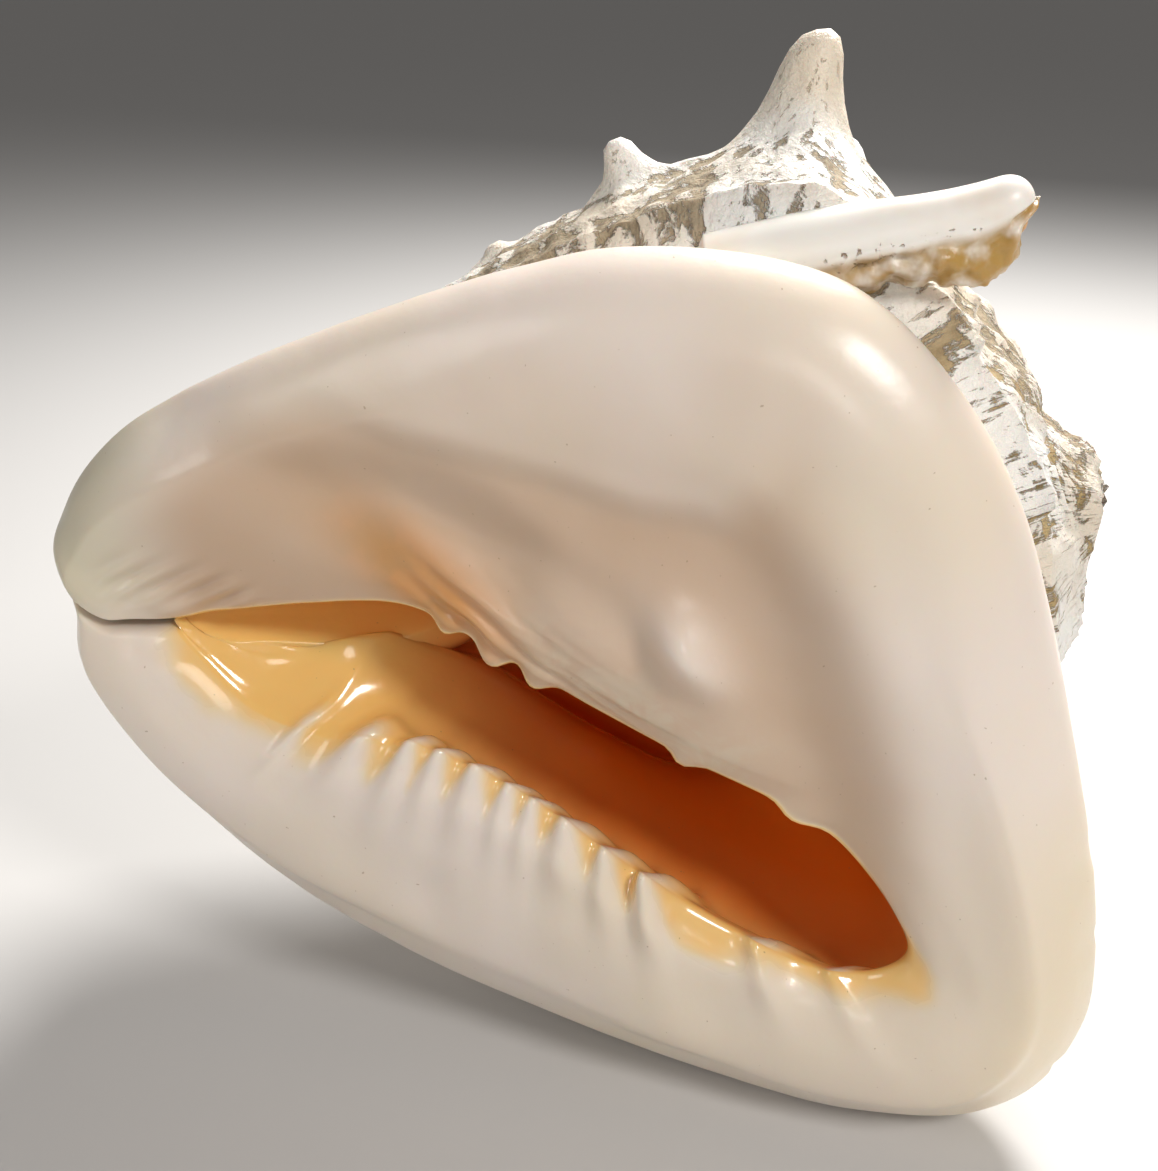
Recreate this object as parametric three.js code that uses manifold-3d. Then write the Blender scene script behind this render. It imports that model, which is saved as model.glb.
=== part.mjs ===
// Horned helmet shell, resting on its outer lip and two dorsal horns.
// Millimetres. Shell frame: U from canal to spire, V from lip to parietal edge, W out of the aperture.
import * as THREE from "three";
import { mergeVertices } from "three/addons/utils/BufferGeometryUtils.js";
import Module from "manifold-3d";

// ---- driving dimensions
const COLUMNS = 80;
const LIP_TILT = 2; // degrees the aperture face leans back
const YAW = 16; // degrees the spire end is turned forward
const ROLL = 7; // degrees the canal end is raised
const GROUND_TRIM = 2.4; // depth worn flat where the shell touches the ground
const CENTRE = new THREE.Vector3(20, -5, -52); // middle of the body whorl
const AXIS = new THREE.Vector3(0.955, 0.275, -0.11).normalize(); // coiling axis, canal to apex
const APEX = 86; // apex along the axis from the middle
const CANAL = -138; // canal tip along the axis
const SPIRE_SHIFT = new THREE.Vector3(-2.5, 6.5, 0); // how far the apex is drawn off the axis
const CANAL_RADIUS = 15;
const CANAL_LIFT = 20; // how far the canal tip curls dorsally
const FAR_END = new THREE.Vector3(8, -27, -110); // deepest point of the open cavity
const CHAMBER = [4, -29, -73, 50]; // middle and radius of the hollow inside the last whorl

// Opening edge, starting at the canal, along the outer lip, back along the parietal side: U, V.
const OPENING = [
  [-91, -33], [-83, -40], [-70, -49], [-50, -51], [-28, -48], [-4, -53], [22, -64], [46, -72],
  [68, -75], [80, -66], [73, -54], [56, -41], [32, -35], [8, -28], [-15, -20], [-37, -15],
  [-58, -20], [-76, -26], [-86, -30],
];
// Outer edge of lip and parietal shield, same order: U, V, and 1 on the lip or 0 on the shield.
const RIM = [
  [-119, -35, 0.5], [-120, -56, 1], [-96, -82, 1], [-63, -103, 1], [-24, -114, 1],
  [12, -119, 1], [48, -121, 1], [80, -119, 1], [110, -106, 1], [120, -78, 0.7],
  [112, -42, 0.25], [94, 0, 0], [74, 38, 0], [42, 65, 0], [2, 66, 0], [-36, 51, 0],
  [-78, 28, 0], [-109, 5, 0], [-122, -17, 0.1],
];
// Face section, opening edge to rim: reach, widest share of the face, height on lip, on shield.
const FROM_EDGE = [
  [0, 0, 0, -2],
  [4, 0.12, 3, 0],
  [10, 0.28, 6, 1.5],
];
const ACROSS = [
  [0.42, 8, 4],
  [0.64, 7, 7],
];
const FROM_RIM = [
  [16, 0.26, 3, 6.5],
  [5, 0.1, -4, 1],
  [0, 0, -12, -7],
];
const BEHIND_RIM = [
  [3, -20, -13],
  [13, -29, -19],
];
// Cavity wall behind the opening edge: inward reach, height, pull towards the far end.
const THROAT = [
  [-17, -38, 0.15],
  [-12, -15, 0],
  [-3, -4.5, 0],
];
// Lip teeth: place along the opening (in opening points), height, half width.
const TEETH = [
  [2.6, 2, 0.16], [3.3, 3.5, 0.16], [3.9, 4, 0.14], [4.25, 3, 0.12], [4.6, 4.5, 0.14],
  [5.05, 5, 0.15], [5.4, 4, 0.13], [5.75, 5, 0.15], [6.2, 5.5, 0.17], [7.3, 2.5, 0.35],
  [8, 2, 0.35],
];
// Columellar folds on the opposite edge.
const FOLDS = [
  [13.5, 2, 0.25], [14.1, 3, 0.22], [14.7, 2.5, 0.22],
];
// Columns are closer together along the toothed stretch of the opening.
const TOOTHED = [2.2, 6.6];
const TOOTHED_SHARE = 0.48;
// Horns: foot angle round the axis (0 lip, 90 dorsal, 180 parietal), foot place along the axis,
// height, foot radius, lean towards the apex.
const HORNS = [
  [180, 23, 23.5, 26, 8],
  [138, 33, 27, 22, 3],
  [98, 35, 30, 23, 4],
  [58, 38, 31, 23, 4],
  [21, 41, 33.5, 24, 2],
  [181, -9, 13, 15, -4],
  [140, -10, 11, 15, 0],
  [100, -9, 13, 16, 0],
  [58, -20, 18, 18, 0],
  [20, -4, 14, 17, 0],
  [22, -47, 34.5, 22, -4],
  [180, -40, 5, 10, -3],
  [138, -46, 8, 13, 0],
  [98, -46, 8, 13, 0],
  [60, -60, 9, 13, 0],
];

// Horn profile: shares of the foot radius and of the height, a flared foot under a rounded thumb.
const HORN_PROFILE = [
  [1, -0.2], [0.74, 0.07], [0.5, 0.21], [0.36, 0.38], [0.27, 0.6], [0.215, 0.82], [0.13, 0.96], [0, 1],
];
// Free end of the previous lip and the worn layers below it: from, to, half width, half thickness.
const OLD_LIP = [[12, 61, -17], [67, 82.5, -26], 8.5, 7];
const OLD_LAYERS = [[34, 64, -26], [63, 76, -30], 8, 5];
const OLD_LIP_FACE = new THREE.Vector3(0.2, 0.45, 0.85);

// ---- helpers
const degrees = THREE.MathUtils.degToRad;
const clamp = THREE.MathUtils.clamp;
const DORSAL = new THREE.Vector3(0, 0, -1);
DORSAL.addScaledVector(AXIS, -AXIS.z * -1).normalize();
const LIPWARD = new THREE.Vector3().crossVectors(DORSAL, AXIS);
if (LIPWARD.y > 0) LIPWARD.negate();

// Smooth closed curve through evenly numbered values.
function closedCurve(values, t, k) {
  const n = values.length;
  const x = (t - Math.floor(t)) * n;
  const i = Math.floor(x) % n;
  const f = x - Math.floor(x);
  const p0 = values[(i + n - 1) % n][k];
  const p1 = values[i][k];
  const p2 = values[(i + 1) % n][k];
  const p3 = values[(i + 2) % n][k];
  const a = 2 * p1 + (p2 - p0) * f;
  const b = (2 * p0 - 5 * p1 + 4 * p2 - p3) * f * f;
  return 0.5 * (a + b + (3 * p1 - p0 - 3 * p2 + p3) * f * f * f);
}

const ramp = (a, b, x) => THREE.MathUtils.smoothstep(x, a, b);
const bell = (x, centre, width) => Math.exp(-(((x - centre) / width) ** 2));

// Radius of the body whorl at a place along the axis and an angle round it.
function bodyRadius(s, angle) {
  if (s < CANAL || s > APEX) return 0;
  const widest = 92 + 10 * Math.cos(angle) - 2 * Math.sin(angle) + 3 * Math.cos(2 * angle);
  const shoulder = 34 + 8 * Math.cos(angle);
  if (s < shoulder) {
    const a = (shoulder - s) / (shoulder - CANAL);
    return CANAL_RADIUS + (widest - CANAL_RADIUS) * (1 - a ** (2.1 + 0.4 * Math.cos(angle)));
  }
  const cone = widest * (1 - ((s - shoulder) / (APEX - shoulder)) ** 1.45);
  return cone - 8 * bell(s, APEX - 13, 9);
}

const canalLift = (s) => CANAL_LIFT * (1 - ramp(CANAL, CANAL + 68, s));

function inBody(point) {
  const q = point.clone().sub(CENTRE);
  const s = q.dot(AXIS);
  const x = q.dot(LIPWARD);
  const y = q.dot(DORSAL) - canalLift(s);
  return Math.hypot(x, y) < bodyRadius(s, Math.atan2(y, x));
}

// Where a ray from the middle of the body leaves it.
function onBody(direction) {
  let near = 0;
  let far = 220;
  for (let i = 0; i < 26; i++) {
    const mid = (near + far) / 2;
    if (inBody(CENTRE.clone().addScaledVector(direction, mid))) near = mid;
    else far = mid;
  }
  const p = CENTRE.clone().addScaledVector(direction, near);
  return p.addScaledVector(SPIRE_SHIFT, ramp(52, APEX, p.clone().sub(CENTRE).dot(AXIS)));
}

// One section of the shell, from the far end of the cavity to the first ring on the body.
function section(t) {
  const edge = new THREE.Vector2(closedCurve(OPENING, t, 0), closedCurve(OPENING, t, 1));
  const rim = new THREE.Vector2(closedCurve(RIM, t, 0), closedCurve(RIM, t, 1));
  const lip = clamp(closedCurve(RIM, t, 2), 0, 1);
  const width = rim.distanceTo(edge);
  const out = rim.clone().sub(edge).divideScalar(width);
  const open = ramp(0, 30, Math.hypot(edge.x - OPENING[0][0], edge.y - OPENING[0][1]));
  const at = (from, reach, height) =>
    new THREE.Vector3(from.x + out.x * reach, from.y + out.y * reach, height);
  const mix = (onLip, onShield) => onShield + (onLip - onShield) * lip;
  const points = [FAR_END.clone()];
  const turnAt = Math.atan2(edge.y - CHAMBER[1], edge.x - CHAMBER[0]);
  for (const [size, depth] of [[0.55, -26], [1, 0]])
    points.push(
      new THREE.Vector3(
        CHAMBER[0] + size * CHAMBER[3] * Math.cos(turnAt),
        CHAMBER[1] + size * CHAMBER[3] * Math.sin(turnAt),
        CHAMBER[2] + depth,
      ),
    );
  for (const [reach, height, pull] of THROAT) {
    const p = at(edge, -reach * (0.3 + 0.7 * lip) * open, height * (0.35 + 0.65 * open));
    points.push(p.lerp(FAR_END, pull));
  }
  for (const [reach, share, a, b] of FROM_EDGE)
    points.push(at(edge, Math.min(reach, share * width), mix(a, b)));
  for (const [share, a, b] of ACROSS) points.push(at(edge, share * width, mix(a, b)));
  for (const [reach, share, a, b] of FROM_RIM)
    points.push(at(rim, -Math.min(reach, share * width), mix(a, b)));
  for (const [reach, a, b] of BEHIND_RIM) points.push(at(rim, -reach, mix(a, b)));
  const pull = 0.86 - 0.1 * lip;
  const ring = new THREE.Vector3(
    (rim.x - CENTRE.x) * pull,
    (rim.y - CENTRE.y) * pull,
    -30 - 8 * lip - CENTRE.z,
  ).normalize();
  points.push(onBody(ring));
  const turn = Math.acos(clamp(-ring.z, -1, 1));
  const back = new THREE.Vector3(0, 0, -1);
  const around = (f) =>
    ring
      .clone()
      .multiplyScalar(Math.sin(turn * (1 - f)))
      .addScaledVector(back, Math.sin(turn * f))
      .normalize();
  points.push(onBody(around(0.05)));
  return { points, around, out, lip };
}

// Smooth open curve through the section's points.
function alongSection(points, x) {
  const i = clamp(Math.floor(x), 0, points.length - 2);
  const f = x - i;
  const slope = (k) => {
    const a = points[Math.max(k - 1, 0)];
    const b = points[Math.min(k + 1, points.length - 1)];
    const span = Math.min(k + 1, points.length - 1) - Math.max(k - 1, 0);
    return b.clone().sub(a).divideScalar(span);
  };
  const p = points[i].clone().multiplyScalar(2 * f ** 3 - 3 * f ** 2 + 1);
  p.addScaledVector(slope(i), f ** 3 - 2 * f ** 2 + f);
  p.addScaledVector(points[i + 1], -2 * f ** 3 + 3 * f ** 2);
  p.addScaledVector(slope(i + 1), f ** 3 - f ** 2);
  return p;
}

// Rows of the surface: stations along the section, then shares of the way round the body.
const FACE_ROWS = [
  0, 1, 2, 2.6, 3.2, 4, 5, 5.5, 6, 6.5, 7, 7.5, 8, 8.5, 9.2, 10, 10.6, 11.3, 12, 12.5, 13, 13.6, 14.4,
  15.2, 16,
];
const BODY_ROWS = [
  0.06, 0.12, 0.18, 0.25, 0.32, 0.39, 0.46, 0.53, 0.6, 0.67, 0.74, 0.81, 0.88, 0.94, 1,
];
const EDGE_ROW = 6;

function surfacePoint(cut, t, row) {
  if (row >= FACE_ROWS.length) return onBody(cut.around(BODY_ROWS[row - FACE_ROWS.length]));
  const station = FACE_ROWS[row];
  const p = alongSection(cut.points, station);
  const x = t * OPENING.length;
  const nearEdge = bell(station, EDGE_ROW + 0.3, 1.4);
  let lift = 0;
  for (const [place, height, half] of [...TEETH, ...FOLDS])
    lift += height * bell(x, place, half) * nearEdge;
  p.x -= cut.out.x * lift;
  p.y -= cut.out.y * lift;
  p.z += 0.6 * lift;
  return p;
}

// Place round the opening of a column, in shares of the whole.
function placeOf(column) {
  const n = OPENING.length;
  const share = column / COLUMNS;
  if (share < TOOTHED_SHARE) {
    const x = TOOTHED[0] + ((TOOTHED[1] - TOOTHED[0]) * share) / TOOTHED_SHARE;
    return x / n;
  }
  const rest = (share - TOOTHED_SHARE) / (1 - TOOTHED_SHARE);
  const x = TOOTHED[1] + (n + TOOTHED[0] - TOOTHED[1]) * rest;
  return (x / n) % 1;
}

function shellSurface() {
  const rows = FACE_ROWS.length + BODY_ROWS.length - 1;
  const geometry = new THREE.SphereGeometry(1, COLUMNS, rows);
  const position = geometry.attributes.position;
  const uv = geometry.attributes.uv;
  const cuts = [];
  for (let c = 0; c < COLUMNS; c++) cuts.push(section(placeOf(c)));
  for (let i = 0; i < position.count; i++) {
    const row = Math.round((1 - uv.getY(i)) * rows);
    const column = Math.round(clamp(uv.getX(i), 0, 1) * COLUMNS) % COLUMNS;
    const p = surfacePoint(cuts[column], placeOf(column), row);
    position.setXYZ(i, p.x, p.y, p.z);
  }
  return geometry;
}

// A horn: a flared foot and a rounded tip, turned from a profile.
function horn(angle, place, height, foot, lean) {
  const profile = [new THREE.Vector2(0, -26)];
  profile.push(new THREE.Vector2(foot * 0.6, -26));
  for (const [r, h] of HORN_PROFILE) profile.push(new THREE.Vector2(r * foot, h * height));
  const geometry = new THREE.LatheGeometry(profile, foot > 18 ? 10 : 8);
  const a = degrees(angle);
  const out = LIPWARD.clone().multiplyScalar(Math.cos(a)).addScaledVector(DORSAL, Math.sin(a));
  const base = CENTRE.clone().addScaledVector(AXIS, place);
  base.addScaledVector(DORSAL, canalLift(place)).addScaledVector(out, bodyRadius(place, a) - 2);
  const up = out.clone().multiplyScalar(height).addScaledVector(AXIS, lean).normalize();
  const turn = new THREE.Quaternion().setFromUnitVectors(new THREE.Vector3(0, 1, 0), up);
  geometry.applyQuaternion(turn);
  geometry.translate(base.x, base.y, base.z);
  return geometry;
}

// The free end of the previous lip: a flat tongue that tapers to a blunt point.
function tongue(from, to, wide, thick, face) {
  const length = from.distanceTo(to);
  const geometry = new THREE.CapsuleGeometry(1, 8, 3, 12, 5);
  const position = geometry.attributes.position;
  for (let i = 0; i < position.count; i++) {
    const along = position.getY(i) / 10 + 0.5;
    const taper = 1 - 0.35 * ramp(0.2, 1, along);
    position.setXYZ(
      i,
      position.getX(i) * wide * taper,
      along * length,
      position.getZ(i) * thick * taper,
    );
  }
  const y = to.clone().sub(from).normalize();
  const z = face.clone().addScaledVector(y, -face.dot(y)).normalize();
  const x = new THREE.Vector3().crossVectors(y, z);
  geometry.applyMatrix4(new THREE.Matrix4().makeBasis(x, y, z));
  geometry.translate(from.x, from.y, from.z);
  return geometry;
}

// ---- joining
const wasm = await Module();
wasm.setup();

function solid(geometry) {
  const bare = new THREE.BufferGeometry();
  bare.setAttribute("position", geometry.attributes.position);
  bare.setIndex(geometry.index);
  const merged = mergeVertices(bare, 1e-4);
  return new wasm.Manifold(
    new wasm.Mesh({
      numProp: 3,
      vertProperties: new Float32Array(merged.attributes.position.array),
      triVerts: new Uint32Array(merged.index.array),
    }),
  );
}

const pieces = [solid(shellSurface())];
for (const h of HORNS) pieces.push(solid(horn(...h)));
for (const [from, to, wide, thick] of [OLD_LIP, OLD_LAYERS]) {
  const [start, end] = [from, to].map((p) => new THREE.Vector3(...p));
  pieces.push(solid(tongue(start, end, wide, thick, OLD_LIP_FACE)));
}
const grown = wasm.Manifold.union(pieces);

// Turn the shell into its resting pose and wear the contact points flat.
const pose = new THREE.Matrix4()
  .makeRotationZ(degrees(-YAW))
  .multiply(new THREE.Matrix4().makeRotationX(degrees(90 - LIP_TILT)))
  .multiply(new THREE.Matrix4().makeRotationZ(degrees(-ROLL)));
const posed = grown.transform(pose.elements);
const low = posed.boundingBox().min[2] + GROUND_TRIM;
const ground = new THREE.BoxGeometry(600, 600, 200).translate(0, 0, low - 100);
const rested = posed.subtract(solid(ground));
const box = rested.boundingBox();
const centred = rested.translate([
  -(box.min[0] + box.max[0]) / 2,
  -(box.min[1] + box.max[1]) / 2,
  -low,
]);

const result = centred.getMesh();
const geometry = new THREE.BufferGeometry();
geometry.setAttribute("position", new THREE.BufferAttribute(result.vertProperties, 3));
geometry.setIndex(new THREE.BufferAttribute(result.triVerts, 1));
geometry.computeVertexNormals();
const shell = new THREE.Mesh(
  geometry,
  new THREE.MeshStandardMaterial({ color: 0xe6d8c8, roughness: 0.4, metalness: 0 }),
);
shell.name = "shell";

const group = new THREE.Group();
group.add(shell);
export default group;
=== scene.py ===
"""Horned helmet shell on a pale floor. Millimetres in the shell's own frame until the very end."""
import math

import bmesh
import bpy
import numpy as np
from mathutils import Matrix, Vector


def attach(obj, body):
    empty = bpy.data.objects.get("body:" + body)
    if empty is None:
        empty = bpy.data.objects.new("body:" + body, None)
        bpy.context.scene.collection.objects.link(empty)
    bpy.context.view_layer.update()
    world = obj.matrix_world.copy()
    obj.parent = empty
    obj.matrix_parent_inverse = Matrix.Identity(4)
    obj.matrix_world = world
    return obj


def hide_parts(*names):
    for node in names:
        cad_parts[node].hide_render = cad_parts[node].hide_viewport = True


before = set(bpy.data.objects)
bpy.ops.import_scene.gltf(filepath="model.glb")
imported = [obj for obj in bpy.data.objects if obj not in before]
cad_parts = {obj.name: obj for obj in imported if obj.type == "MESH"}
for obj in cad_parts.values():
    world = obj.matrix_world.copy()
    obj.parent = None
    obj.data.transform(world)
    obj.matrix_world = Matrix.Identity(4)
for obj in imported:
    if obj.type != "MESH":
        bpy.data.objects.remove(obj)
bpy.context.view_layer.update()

# ---------------------------------------------------------------- where the shell sits
LIP_TILT, YAW, ROLL = (math.radians(a) for a in (2, 16, 7))
ORIGIN = np.array([2.582, -56.619, 126.478])


def turn(axis, a):
    c, s = math.cos(a), math.sin(a)
    if axis == "x":
        return np.array([[1, 0, 0], [0, c, -s], [0, s, c]])
    return np.array([[c, -s, 0], [s, c, 0], [0, 0, 1]])


POSE = turn("z", -YAW) @ turn("x", math.pi / 2 - LIP_TILT) @ turn("z", -ROLL)


def to_world(p):
    return (p @ POSE.T + ORIGIN) / 1000


# ---------------------------------------------------------------- camera
CAMERA_HEIGHT = math.radians(26)
CAMERA_DISTANCE = 0.258
cam_data = bpy.data.cameras.new("camera")
cam_data.lens = 40
cam_data.sensor_width = 36
cam_data.clip_start = 0.01
camera = bpy.data.objects.new("camera", cam_data)
bpy.context.scene.collection.objects.link(camera)
back = Vector((0, -math.cos(CAMERA_HEIGHT), math.sin(CAMERA_HEIGHT)))
camera.location = Vector(ORIGIN / 1000) + back * CAMERA_DISTANCE
camera.rotation_euler = (math.pi / 2 - CAMERA_HEIGHT, 0, 0)
bpy.context.scene.camera = camera

# ---------------------------------------------------------------- driving shape
# the body: a domed whorl round an axis that runs from the canal to the spire
CENTRE = np.array([20.0, -5.0, -52.0])
AXIS = np.array([0.955, 0.275, -0.11])
AXIS /= np.linalg.norm(AXIS)
DORSAL = np.array([0, 0, -1.0]) + AXIS * AXIS[2]
DORSAL /= np.linalg.norm(DORSAL)
LIPWARD = np.cross(DORSAL, AXIS)
LIPWARD *= -np.sign(LIPWARD[1])
SPIRE_SHIFT = np.array([-2.5, 6.5, 0])
APEX, CANAL, CANAL_RADIUS, CANAL_LIFT = 86.0, -138.0, 15.0, 20.0
BODY_RADIUS = 92
BEYOND_BODY, HALVINGS = 220, 24  # search for the surface along a ray
# the first chamber behind the mouth: its far end, then its middle and radius
FAR_END = np.array([8.0, -27.0, -110.0])
CHAMBER = (4.0, -29.0, -73.0, 50.0)
# the opening and the rim of the face, place by place, from the canal along the lip and back over the shield
OPENING = [
    (-91, -33), (-83, -40), (-70, -49), (-50, -51), (-28, -48), (-4, -53), (22, -64), (46, -72),
    (68, -75), (80, -66), (73, -54), (56, -41), (32, -35), (8, -28), (-15, -20), (-37, -15),
    (-58, -20), (-76, -26), (-86, -30),
]
RIM = [
    (-119, -35), (-120, -56), (-96, -82), (-63, -103), (-24, -114), (12, -119), (48, -121),
    (80, -119), (110, -106), (120, -78), (112, -42), (94, 0), (74, 38), (42, 65), (2, 66),
    (-36, 51), (-78, 28), (-109, 5), (-122, -17),
]
PLACES = len(OPENING)
# 1 on the outer lip, 0 on the shield
LIP_SHARE = [0.5, 1, 1, 1, 1, 1, 1, 1, 1, 0.7, 0.25, 0, 0, 0, 0, 0, 0, 0, 0.1]
# reach, share of the width, height on the lip, height on the shield
FROM_EDGE = [(0, 0, 0, -2), (4, 0.12, 3, 0), (10, 0.28, 6, 1.5)]
# share of the width, heights
ACROSS = [(0.42, 8, 4), (0.64, 7, 7)]
FROM_RIM = [(16, 0.26, 3, 6.5), (5, 0.1, -4, 1), (0, 0, -12, -7)]
# reach, heights
BEHIND_RIM = [(3, -20, -13), (13, -29, -19)]
# rings of the face: from station, to station, how many
ROW_PLAN = [
    (0, 5, 32), (5, 6, 9), (6, 7, 10), (7, 8, 10), (8, 9, 22), (9, 10, 22), (10, 11, 20), (11, 12, 16),
    (12, 13, 12), (13, 14, 14), (14, 15, 8), (15, 18, 10),
]
# reach, height, share drawn to the far end
THROAT = [(-17, -38, 0.15), (-12, -15, 0), (-3, -4.5, 0)]
# place, height, half width
TEETH = [
    (2.6, 1.4, 0.1), (3.3, 3.2, 0.2), (3.85, 3.2, 0.14), (4.17, 3.4, 0.125), (4.55, 4.2, 0.155), (4.87, 3.5, 0.11),
    (5.1, 3.2, 0.1), (5.44, 5, 0.17), (5.8, 5, 0.13), (6.2, 6.2, 0.145), (7.25, 3.2, 0.16), (8.0, 2, 0.16),
]
FOLDS = [(14.55, 2.4, 0.12), (14.05, 3.6, 0.15), (13.62, 3.2, 0.14), (12.2, 2, 0.12), (11.15, 2.6, 0.2)]
# how far the orange of the mouth spreads out over the edge: place, millimetres
SPREAD = [
    (0, 0.5), (0.4, 3), (1.0, 6), (1.7, 4.5), (2.4, 2.5), (2.9, 4), (3.6, 5.5), (6.3, 6.5), (6.7, 7), (7.1, 3.5),
    (7.6, 4), (8.3, 5), (8.8, 8), (9.3, 4), (9.8, 0.5), (19, 0.5),
]
# edges of the thick glaze on the shield, and the ridge down its right side
STEP = [
    (-150, 66), (-80, 38), (-60, 31), (-38, 28), (-24, 27), (-5, 25), (10, 23), (24, 24), (31, 32), (34, 44), (36, 120),
]
RIDGE = [(20, 110), (42, 30), (48, 20), (55, 6), (63, -9), (71, -25), (76, -40), (82, -60), (100, -150)]
LEFT_HOLLOW = [(-90, 14), (-60, 10), (-38, 8), (-16, 3)]
VEIL = [(-6, -16), (10, -22), (24, -26), (34, -30)]
# the white bump above the opening and the hollow beside it; soft swells; dents in the lip below the teeth
BUMP = [(24, -7, 9.5, 5.6, 6, -48), (14, -10, 7, 4, -1, -48)]
BUMP_PATCH = (24, -7, 10, 6, 1, -48)
SWELLS = [(-8, 12, 20, 6, 1.2, -25), (-2, -6, 14, 6, 1.6, -35)]
DENTS = [(-23, -80, 8, 9, -1.4), (-42, -74, 9, 8, -1.0), (44, -88, 9, 9, -1.6), (8, -92, 14, 10, -0.8)]
# chips in the rim: place, size
CHIPS = [(9.62, 0.9), (10.12, 0.8), (10.2, 0.6), (8.6, 0.7)]
# floor of the canal: the gap it crosses by u, then for each ring
# the share of the gap and height on the lip side, and the reach and height under the shield
CANAL_GAP = ([-97, -85, -70, -55, -40, -20], [2, 8, 18, 28, 32, 34])
CANAL_FLOOR = [(0.95, -13.5, 3, -24), (0.55, -9.5, 6, -15), (0.16, -3.8, 3.5, -6.5)]
# angle round the axis, place along it, height, foot radius, lean
HORNS = [
    (180, 23, 23.5, 26, 8), (138, 33, 27, 22, 3), (98, 35, 30, 23, 4), (58, 38, 31, 23, 4), (21, 41, 33.5, 24, 2),
    (181, -9, 13, 15, -4), (140, -10, 11, 15, 0), (100, -9, 13, 16, 0), (58, -20, 18, 18, 0), (20, -4, 14, 17, 0),
    (22, -47, 34.5, 22, -4), (180, -40, 5, 10, -3), (138, -46, 8, 13, 0), (98, -46, 8, 13, 0), (60, -60, 9, 13, 0),
]
# where a share of the foot radius on the body goes to: share of the radius, share of the height
HORN_PROFILE = [
    (0, 0, 1), (0.12, 0.13, 0.96), (0.24, 0.215, 0.82), (0.36, 0.27, 0.6), (0.48, 0.36, 0.38), (0.62, 0.5, 0.21),
    (0.8, 0.74, 0.07), (1, 1, 0),
]


# ---------------------------------------------------------------- curve and noise helpers
def ramp(a, b, x):
    f = np.clip((x - a) / (b - a), 0, 1)
    return f * f * (3 - 2 * f)


def bell(x, centre, width):
    return np.exp(-(((x - centre) / width) ** 2))


def around(x, centre):
    """Signed distance in places round the closed outline."""
    return (x - centre + PLACES / 2) % PLACES - PLACES / 2


def closed_curve(values, t):
    """Smooth closed curve through values, t from 0 to 1."""
    v = np.array(values, float)
    n = len(v)
    x = (t % 1) * n
    i = np.floor(x).astype(int)
    f = (x - i)[(...,) + (None,) * (v.ndim - 1)]
    a, b, c, d = v[(i - 1) % n], v[i % n], v[(i + 1) % n], v[(i + 2) % n]
    return 0.5 * (2 * b + (c - a) * f + (2 * a - 5 * b + 4 * c - d) * f**2 + (3 * b - a - 3 * c + d) * f**3)


def along(stations, x):
    """Smooth curve through stations (k, n, 3) at places x (m,)."""
    slope = np.gradient(stations, axis=0)
    i = np.clip(np.floor(x).astype(int), 0, len(stations) - 2)
    f = (x - i)[:, None, None]
    p = stations[i] * (2 * f**3 - 3 * f**2 + 1) + slope[i] * (f**3 - 2 * f**2 + f)
    return p + stations[i + 1] * (3 * f**2 - 2 * f**3) + slope[i + 1] * (f**3 - f**2)


def beside(u, v, points):
    """Signed distance from a line of points, positive on the right when walking along it."""
    best = np.full(np.shape(u), 1e9)
    side = np.zeros(np.shape(u))
    for (ax, ay), (bx, by) in zip(points, points[1:]):
        dx, dy = bx - ax, by - ay
        f = np.clip(((u - ax) * dx + (v - ay) * dy) / (dx * dx + dy * dy), 0, 1)
        d = np.hypot(u - ax - f * dx, v - ay - f * dy)
        closer = d < best
        best = np.where(closer, d, best)
        side = np.where(closer, np.sign((u - ax) * dy - (v - ay) * dx), side)
    return best * side


def value_noise(p, size, seed=0):
    """Smooth noise in -1..1 at points p (..., 3), features about size across."""
    q = p / size + 100.0
    i = np.floor(q).astype(np.int64)
    f = q - i
    f = f * f * (3 - 2 * f)
    total = 0
    for c in range(8):
        o = np.array([c & 1, (c >> 1) & 1, c >> 2])
        j = i + o
        h = (j[..., 0] * 73856093) ^ (j[..., 1] * 19349663) ^ (j[..., 2] * 83492791) ^ (seed * 2654435)
        h = (h ^ (h >> 13)) * 1274126177
        v = ((h ^ (h >> 16)) & 65535) / 32767.5 - 1
        w = np.prod(np.where(o == 1, f, 1 - f), axis=-1)
        total = total + v * w
    return total


# ---------------------------------------------------------------- body of the last whorl
def body_radius(s, angle):
    c = np.cos(angle)
    widest = BODY_RADIUS + 10 * c - 2 * np.sin(angle) + 3 * np.cos(2 * angle)
    shoulder = 34 + 8 * c
    a = np.clip((shoulder - s) / (shoulder - CANAL), 0, 1)
    front = CANAL_RADIUS + (widest - CANAL_RADIUS) * (1 - a ** (2.1 + 0.4 * c))
    b = np.clip((s - shoulder) / (APEX - shoulder), 0, 1)
    r = np.where(s < shoulder, front, widest * (1 - b**1.45) - 8 * bell(s, APEX - 13, 9))
    return np.where((s < CANAL) | (s > APEX), 0, r)


def canal_lift(s):
    return CANAL_LIFT * (1 - ramp(CANAL, CANAL + 68, s))


def round_axis(p):
    q = p - CENTRE
    s = q @ AXIS
    x, y = q @ LIPWARD, q @ DORSAL - canal_lift(s)
    return s, np.hypot(x, y), np.arctan2(y, x)


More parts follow.
